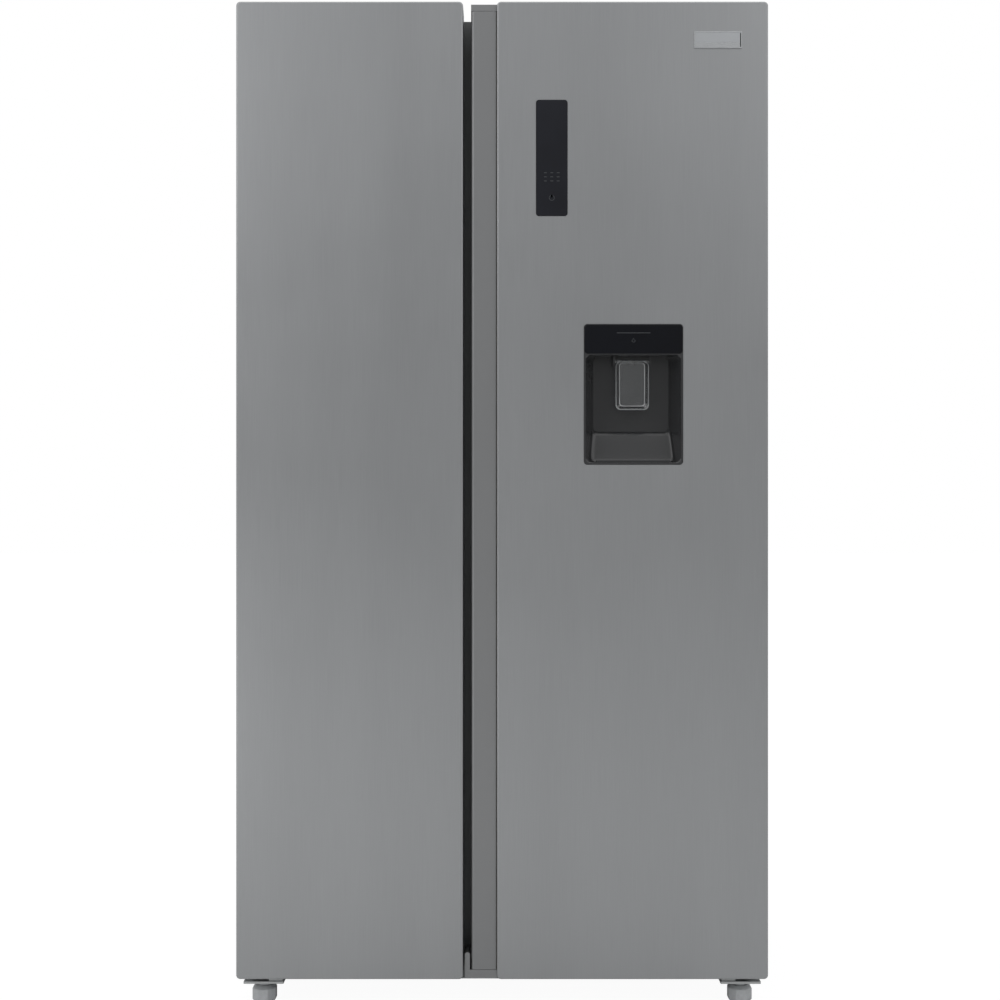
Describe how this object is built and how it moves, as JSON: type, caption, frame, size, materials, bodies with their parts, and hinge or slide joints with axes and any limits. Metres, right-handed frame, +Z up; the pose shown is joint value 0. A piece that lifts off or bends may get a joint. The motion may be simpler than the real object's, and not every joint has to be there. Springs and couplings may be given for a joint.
{
  "type": "side by side refrigerator",
  "caption": "Upright two-door refrigerator with freezer and fresh compartments, a recessed handle strip, a slim display and a water dispenser.",
  "frame": {"origin": "on the floor, at the middle of the footprint", "axes": "+Z up, the doors face -Y, +X to the right seen from the front"},
  "size_m": [0.912, 0.7, 1.737],
  "materials": {
    "brushed_door_steel": "satin",
    "painted_cabinet": "satin",
    "galvanised_steel": "satin",
    "white_plastic": "satin",
    "insulation_foam": "matte",
    "gasket_rubber": "matte",
    "silver_plastic": "satin",
    "grey_plastic": "matte",
    "black_glass": "gloss",
    "dark_plastic": "satin",
    "clear_plastic": "gloss",
    "shelf_glass": "gloss",
    "compressor_black": "satin",
    "coil_black": "satin",
    "fin_aluminium": "satin",
    "foot_plastic": "satin",
    "badge_metal": "satin"
  },
  "bodies": {
    "cabinet": {"cabinet_shell": "painted_cabinet", "mullion_strip": "painted_cabinet", "base_front_rail": "painted_cabinet", "freezer_liner": "white_plastic", "fridge_liner": "white_plastic", "cabinet_foam": "insulation_foam", "base_pan": "galvanised_steel", "back_panel": "galvanised_steel", "machine_cover": "galvanised_steel", "compressor": "compressor_black", "condenser_coil": "coil_black", "evaporator": "fin_aluminium", "freezer_air_duct": "white_plastic", "freezer_shelf_1": "shelf_glass", "freezer_shelf_2": "shelf_glass", "crisper_cover": "shelf_glass", "fridge_shelf_1": "shelf_glass", "fridge_shelf_2": "shelf_glass", "fridge_shelf_3": "shelf_glass", "hinge_top_left": "galvanised_steel", "hinge_cover_left": "grey_plastic", "hinge_bottom_left": "galvanised_steel", "hinge_top_right": "galvanised_steel", "hinge_cover_right": "grey_plastic", "hinge_bottom_right": "galvanised_steel"},
    "freezer_door": {"freezer_door_skin": "brushed_door_steel", "freezer_door_top_cap": "grey_plastic", "freezer_door_bottom_cap": "grey_plastic", "freezer_door_foam": "insulation_foam", "freezer_door_liner": "white_plastic", "freezer_door_gasket": "gasket_rubber", "freezer_bin_1": "clear_plastic", "freezer_bin_2": "clear_plastic", "freezer_bin_3": "clear_plastic"},
    "fridge_door": {"fridge_door_skin": "brushed_door_steel", "fridge_door_top_cap": "silver_plastic", "fridge_door_bottom_cap": "silver_plastic", "handle_strip": "silver_plastic", "fridge_door_foam": "insulation_foam", "fridge_door_liner": "white_plastic", "fridge_door_gasket": "gasket_rubber", "fridge_bin_1": "clear_plastic", "fridge_bin_2": "clear_plastic", "water_tank": "clear_plastic", "dispenser_housing": "dark_plastic", "dispenser_fascia": "black_glass", "dispenser_nozzle": "dark_plastic", "drip_tray": "dark_plastic", "display_panel": "black_glass", "name_badge": "badge_metal"},
    "paddle": {"dispenser_paddle": "clear_plastic"},
    "evaporator_fan": {"evaporator_fan": "grey_plastic"},
    "freezer_drawer_1": {"freezer_drawer_1": "clear_plastic"},
    "freezer_drawer_2": {"freezer_drawer_2": "clear_plastic"},
    "crisper_drawer_1": {"crisper_drawer_1": "clear_plastic"},
    "crisper_drawer_2": {"crisper_drawer_2": "clear_plastic"},
    "front_foot_left": {"front_foot_left": "foot_plastic"},
    "front_foot_right": {"front_foot_right": "foot_plastic"},
    "rear_roller_left": {"rear_roller_left": "grey_plastic"},
    "rear_roller_right": {"rear_roller_right": "grey_plastic"}
  },
  "joints": [
    {"name": "freezer_door_swing", "type": "hinge", "parent": "cabinet", "child": "freezer_door", "pos_m": [-0.434, -0.313, 0.9], "axis": [0, 0, -1], "range_deg": [0, 120]},
    {"name": "fridge_door_swing", "type": "hinge", "parent": "cabinet", "child": "fridge_door", "pos_m": [0.434, -0.313, 0.9], "axis": [0, 0, 1], "range_deg": [0, 120]},
    {"name": "paddle_push", "type": "hinge", "parent": "fridge_door", "child": "paddle", "pos_m": [0.225, -0.3209, 1.115], "axis": [1, 0, 0], "range_deg": [0, 8], "stiffness_Nm_per_rad": 0.15, "springref_deg": -20.05},
    {"name": "evaporator_fan_spin", "type": "hinge", "parent": "cabinet", "child": "evaporator_fan", "pos_m": [-0.24113, 0.25, 0.7855], "axis": [0, 1, 0], "continuous": true},
    {"name": "front_foot_left_turn", "type": "hinge", "parent": "cabinet", "child": "front_foot_left", "pos_m": [-0.415, -0.298, 0.02], "axis": [0, 0, 1], "continuous": true},
    {"name": "rear_roller_left_roll", "type": "hinge", "parent": "cabinet", "child": "rear_roller_left", "pos_m": [-0.4, 0.314, 0.018], "axis": [1, 0, 0], "continuous": true},
    {"name": "front_foot_right_turn", "type": "hinge", "parent": "cabinet", "child": "front_foot_right", "pos_m": [0.415, -0.298, 0.02], "axis": [0, 0, 1], "continuous": true},
    {"name": "rear_roller_right_roll", "type": "hinge", "parent": "cabinet", "child": "rear_roller_right", "pos_m": [0.4, 0.314, 0.018], "axis": [1, 0, 0], "continuous": true},
    {"name": "freezer_drawer_1_slide", "type": "slide", "parent": "cabinet", "child": "freezer_drawer_1", "axis": [0, -1, 0], "range_m": [0, 0.205]},
    {"name": "freezer_drawer_2_slide", "type": "slide", "parent": "cabinet", "child": "freezer_drawer_2", "axis": [0, -1, 0], "range_m": [0, 0.205]},
    {"name": "crisper_drawer_1_slide", "type": "slide", "parent": "cabinet", "child": "crisper_drawer_1", "axis": [0, -1, 0], "range_m": [0, 0.205]},
    {"name": "crisper_drawer_2_slide", "type": "slide", "parent": "cabinet", "child": "crisper_drawer_2", "axis": [0, -1, 0], "range_m": [0, 0.205]}
  ],
  "couplings": [
    {"joint": "freezer_drawer_1_slide", "follows": "freezer_door_swing", "m_per_rad": 0.095},
    {"joint": "freezer_drawer_2_slide", "follows": "freezer_door_swing", "m_per_rad": 0.095},
    {"joint": "crisper_drawer_1_slide", "follows": "fridge_door_swing", "m_per_rad": 0.095},
    {"joint": "crisper_drawer_2_slide", "follows": "fridge_door_swing", "m_per_rad": 0.095}
  ]
}
